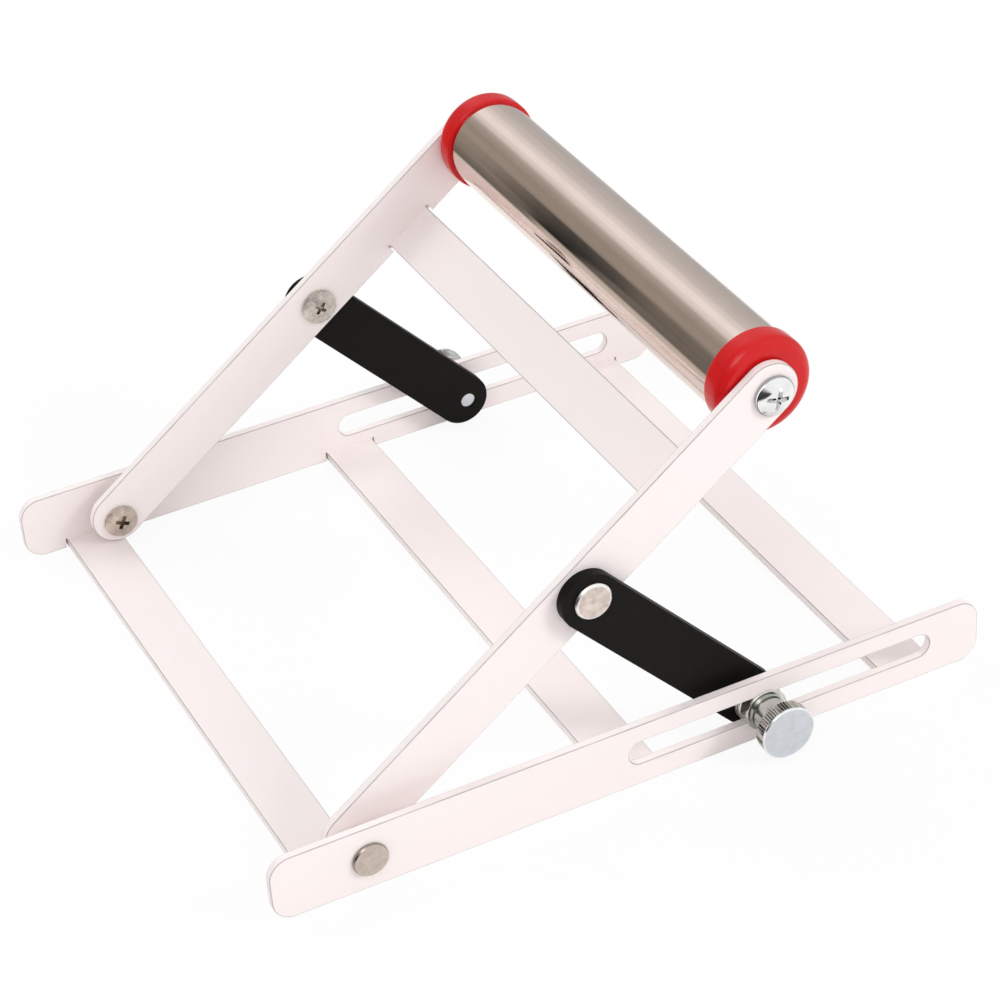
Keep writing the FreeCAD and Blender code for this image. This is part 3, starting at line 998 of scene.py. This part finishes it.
def makeThumbScrew(sideName, side):
    head, neck, stud, chamfer = thumb["head"], thumb["neck"], thumb["stud"], thumb["studChamfer"]
    back = thumbOuter - thumb["headLength"]
    core = head - thumb["knurlDrop"] - thumb["knurlDepth"] - thumb["overlap"]
    coreEnd = back + thumb["shoulderLength"] * thumb["shoulderShare"]
    band = thumbOuter - thumbFaceBand
    waist = neck - thumb["grooveDepth"]
    seat = washerOuter + thumb["seatGap"]
    grooves = []
    setback, length = thumb["grooveSetback"], thumb["grooveLength"]
    for start in (back - setback, washerOuter + setback + length):
        end = start - length
        grooves += [(neck, start), (waist, start), (waist, end), (neck, end)]
    tip = armOuter + thumb["tipInset"]
    tipEdge = tip + thumb["tipRise"]
    reliefEnd = railInner - thumb["reliefMargin"]
    profile = [
        (0.0, thumbOuter), (head - thumb["faceBevel"], thumbOuter), (head, thumbOuter - thumb["faceBevel"]),
        (head, band), (core, band), (core, coreEnd), (thumb["shoulder"], back), (neck, back), *grooves,
        (neck, seat), (thumb["relief"], seat), (thumb["relief"], reliefEnd), (stud, reliefEnd),
        (stud, tipEdge + chamfer), (stud - chamfer, tipEdge), (0.0, tip),
    ]
    mesh = spinProfile(profile, clampAt, thumb["segments"], side=side)
    piece = toObject(mesh, sideName + "ThumbScrew")
    combine(piece, makeKnurls(side), "UNION")
    softEdges(piece, thumb["edge"], thumb["edgeSteps"], thumb["edgeAngle"])
    return dress(piece, sideName + "_thumb", [sideName + "_thumb_screw"], knobSteel)


def makeWasher(sideName, side):
    outer, inner = washer["outer"], washer["inner"]
    profile = [(inner, railOuter), (outer, railOuter), (outer, washerOuter), (inner, washerOuter)]
    mesh = spinProfile(profile, clampAt, washer["segments"], closed=True, side=side)
    piece = toObject(mesh, sideName + "ThumbWasher")
    softEdges(piece, washer["edge"])
    return dress(piece, sideName + "_link_arm", [sideName + "_thumb_washer"], clampNickel)


def makeCollar(sideName, side):
    # a threaded collar, its outside turned with shallow grooves
    outer, inner, edge = collar["outer"], collar["inner"], collar["edge"]
    pitch = (railInner - linkOuter - 2 * edge) / collar["grooves"]
    profile = [(inner, linkOuter), (outer - edge, linkOuter), (outer, linkOuter + edge)]
    grooveStart, deepest, grooveEnd = collar["grooveShares"]
    for groove in range(collar["grooves"]):
        start = linkOuter + edge + groove * pitch
        profile += [
            (outer, start + pitch * grooveStart), (outer - collar["grooveDepth"], start + pitch * deepest),
            (outer, start + pitch * grooveEnd),
        ]
    profile += [(outer, railInner - edge), (outer - edge, railInner), (inner, railInner)]
    mesh = spinProfile(profile, clampAt, collar["segments"], closed=True, side=side)
    piece = toObject(mesh, sideName + "ThumbCollar")
    keepCreases(piece, collar["creaseAngle"])
    return dress(piece, sideName + "_link_arm", [sideName + "_thumb_collar"], clampNickel)


for sideName, side in sides:
    makeThumbScrew(sideName, side)
    makeWasher(sideName, side)
    makeCollar(sideName, side)
print("thumb screws done")


# studio: floor, world, lamps and camera

cameraView = {
    "aim": (0.008105, -0.004034, 0.043206),
    "azimuth": -24.30,
    "elevation": 34.71,
    "roll": -4.568,
    "distance": 1.067,
    "lens": 112.244,
    "sensor": 36.0,
    "clipEnd": 50.0,
}
studio = {
    "floorSize": 12.0,
    "floorColour": (0.94, 0.935, 0.93),
    "floorRoughness": 0.9,
    "floorSpecular": 0.1,
    "floorWhite": 0.9,          # share of plain white that the camera sees in the floor
    "ambient": 0.60,
    "ambientColour": (1.0, 0.99, 0.985),
    # polished metal sees the walls' tone in the floor beyond this distance and left of these Xs
    "mirrorReach": (0.38, 0.50),
    "mirrorLeft": (-0.06, -0.14),
    # what polished metal mirrors behind and in front of the stand, by the turn in degrees
    # from straight up towards +X
    "nearWalls": [
        (-180, 0.72), (-127, 0.68), (-113, 0.58), (-106, 0.16), (-93, 0.175), (-81, 0.18), (-69, 0.20),
        (-54, 0.35),
    ],
    "middleWalls": [
        (-180, 0.72), (-127, 0.66), (-112, 0.55), (-106, 0.01), (-93, 0.03), (-81, 0.045), (-68, 0.06),
        (-60, 0.33),
    ],
    "farWalls": [
        (-180, 0.72), (-123, 0.74), (-116, 0.15), (-105, 0.20), (-93, 0.27), (-81, 0.31), (-69, 0.32),
        (-54, 0.38),
    ],
    "upperWalls": [
        (-38, 0.34), (-22, 0.43), (-6, 0.79), (5, 0.96), (12, 0.98), (26, 0.80), (42, 0.64), (62, 0.56),
        (90, 0.50), (135, 0.56),
    ],
    "frontWalls": [
        (-180, 0.92), (-130, 0.92), (-114, 0.04), (-76, 0.06), (-58, 0.40), (-36, 0.92), (60, 0.98),
        (120, 0.92),
    ],
    # the mirrored rays' Y between which each of these takes over from the one before
    "wallChanges": (("nearWalls", -0.1, 0.1), ("middleWalls", 0.755, 0.767), ("farWalls", 0.785, 0.798)),
    # the middle tones below the roller turn a little brown: the most blue that they lose, green's
    # share of that, the turn by which it is full, and how far from black and from white all of it
    # shows
    "wallWarmth": 0.18,
    "warmGreen": 0.4,
    "warmTurn": 30.0,
    "warmTones": (0.2, 0.65),
    "lampAim": (0, 0, 0.06),
}
lamps = {
    "key": {"place": (2.4, -2.3, 2.2), "size": 1.1, "power": 50.0, "mirrored": False},
    "fill": {"place": (-2.0, -2.4, 3.2), "size": 2.2, "power": 33.0, "mirrored": True},
    "back": {"place": (-1.0, 2.7, 2.7), "size": 2.6, "power": 48.0, "mirrored": False},
}


def wallRamp(nodes, links, turn, tones, warmth=0.0):
    ramp = nodes.new("ShaderNodeValToRGB")
    ramp.color_ramp.interpolation = "EASE"
    stops = ramp.color_ramp.elements
    dark, light = studio["warmTones"]
    for index, (degrees, tone) in enumerate(tones):
        place = degrees / 360.0 + 0.5
        stop = stops[index] if index < 2 else stops.new(place)
        stop.position = place
        below = min(max(-degrees / studio["warmTurn"], 0.0), 1.0)
        warm = warmth * below * min(tone / dark, 1.0, (1.0 - tone) / light)
        stop.color = (tone, tone * (1.0 - studio["warmGreen"] * warm), tone * (1.0 - warm), 1.0)
    links.new(turn, ramp.inputs["Fac"])
    return ramp.outputs["Color"]


def wallTone(nodes, links, direction):
    # the tone of the walls that polished metal mirrors in a direction
    x, y, z = splitAxes(nodes, links, vectorMaths(nodes, links, "NORMALIZE", direction))
    turn = share(nodes, links, maths(nodes, links, "ARCTAN2", x, z), -math.pi, math.pi)
    tone = wallRamp(nodes, links, turn, studio["frontWalls"])
    for walls, start, end in studio["wallChanges"]:
        tones = studio[walls] + studio["upperWalls"]
        ramp = wallRamp(nodes, links, turn, tones, studio["wallWarmth"])
        tone = blendColours(nodes, links, share(nodes, links, y, start, end), tone, ramp)
    return tone


def mixShaders(nodes, links, amount, first, second):
    mix = nodes.new("ShaderNodeMixShader")
    links.new(amount, mix.inputs["Fac"])
    links.new(first, mix.inputs[1])
    links.new(second, mix.inputs[2])
    return mix.outputs["Shader"]


def makeFloor():
    # plain white to the camera, pale and matt to the stand, and the walls' tone where metal mirrors it
    mesh = bmesh.new()
    bmesh.ops.create_grid(mesh, x_segments=1, y_segments=1, size=studio["floorSize"] / 2)
    floor = toObject(mesh, "studioFloor")
    material, nodes, links, shader = newMaterial("studio floor")
    shader.inputs["Base Color"].default_value = (*studio["floorColour"], 1.0)
    shader.inputs["Roughness"].default_value = studio["floorRoughness"]
    shader.inputs["Specular IOR Level"].default_value = studio["floorSpecular"]
    glow = nodes.new("ShaderNodeEmission")
    rays = nodes.new("ShaderNodeLightPath")
    seen = maths(nodes, links, "MULTIPLY", rays.outputs["Is Camera Ray"], studio["floorWhite"])
    lit = mixShaders(nodes, links, seen, shader.outputs["BSDF"], glow.outputs["Emission"])
    point = nodes.new("ShaderNodeTexCoord").outputs["Object"]
    away = vectorMaths(nodes, links, "LENGTH", point)
    beyond = share(nodes, links, away, *studio["mirrorReach"], shape="SMOOTHSTEP")
    left = share(nodes, links, splitAxes(nodes, links, point)[0], *studio["mirrorLeft"])
    either = maths(nodes, links, "MAXIMUM", beyond, left)
    mirrored = maths(nodes, links, "MULTIPLY", either, rays.outputs["Is Glossy Ray"])
    walls = nodes.new("ShaderNodeEmission")
    fromRoller = vectorMaths(nodes, links, "ADD", point, -axisPoint(rollerAt))
    links.new(wallTone(nodes, links, fromRoller), walls.inputs["Color"])
    whole = mixShaders(nodes, links, mirrored, lit, walls.outputs["Emission"])
    links.new(whole, nodes["Material Output"].inputs["Surface"])
    floor.data.materials.append(material)


def makeWorld():
    # white to the camera, the walls' tone to polished metal and an even pale light to the rest
    world = bpy.data.worlds.new("studio")
    bpy.context.scene.world = world
    world.use_nodes = True
    nodes, links = world.node_tree.nodes, world.node_tree.links
    plain = nodes["Background"]
    plain.inputs["Color"].default_value = (*studio["ambientColour"], 1.0)
    plain.inputs["Strength"].default_value = studio["ambient"]
    white = nodes.new("ShaderNodeBackground")
    white.inputs["Color"].default_value = (1.0, 1.0, 1.0, 1.0)
    mirrored = nodes.new("ShaderNodeBackground")
    direction = nodes.new("ShaderNodeTexCoord").outputs["Generated"]
    links.new(wallTone(nodes, links, direction), mirrored.inputs["Color"])
    rays = nodes.new("ShaderNodeLightPath")
    indirect = mixShaders(
        nodes, links, rays.outputs["Is Glossy Ray"], plain.outputs["Background"],
        mirrored.outputs["Background"],
    )
    whole = mixShaders(nodes, links, rays.outputs["Is Camera Ray"], indirect, white.outputs["Background"])
    links.new(whole, nodes["World Output"].inputs["Surface"])


def makeLamps():
    for name, lamp in lamps.items():
        light = bpy.data.lights.new(name, "AREA")
        light.shape = "SQUARE"
        light.size = lamp["size"]
        light.energy = lamp["power"]
        holder = bpy.data.objects.new(name, light)
        bpy.context.scene.collection.objects.link(holder)
        holder.location = lamp["place"]
        aim = Vector(studio["lampAim"]) - holder.location
        holder.rotation_euler = aim.to_track_quat("-Z", "Y").to_euler()
        holder.visible_glossy = lamp["mirrored"]


def placeCamera():
    azimuth, elevation, roll = [math.radians(cameraView[key]) for key in ("azimuth", "elevation", "roll")]
    flat = math.cos(elevation)
    back = Vector((math.sin(azimuth) * flat, -math.cos(azimuth) * flat, math.sin(elevation)))
    right = Vector((0, 0, 1)).cross(back).normalized()
    up = back.cross(right)
    turn = Matrix((right, up, back)).transposed() @ Matrix.Rotation(roll, 3, "Z")
    place = Vector(cameraView["aim"]) + back * cameraView["distance"]
    lens = bpy.data.cameras.new("camera")
    lens.lens = cameraView["lens"]
    lens.sensor_fit = "HORIZONTAL"
    lens.sensor_width = cameraView["sensor"]
    lens.clip_end = cameraView["clipEnd"]
    camera = bpy.data.objects.new("camera", lens)
    bpy.context.scene.collection.objects.link(camera)
    camera.matrix_world = Matrix.Translation(place) @ turn.to_4x4()
    bpy.context.scene.camera = camera


makeFloor()
makeWorld()
makeLamps()
placeCamera()
bpy.context.scene.view_settings.view_transform = "Standard"
print("studio done")
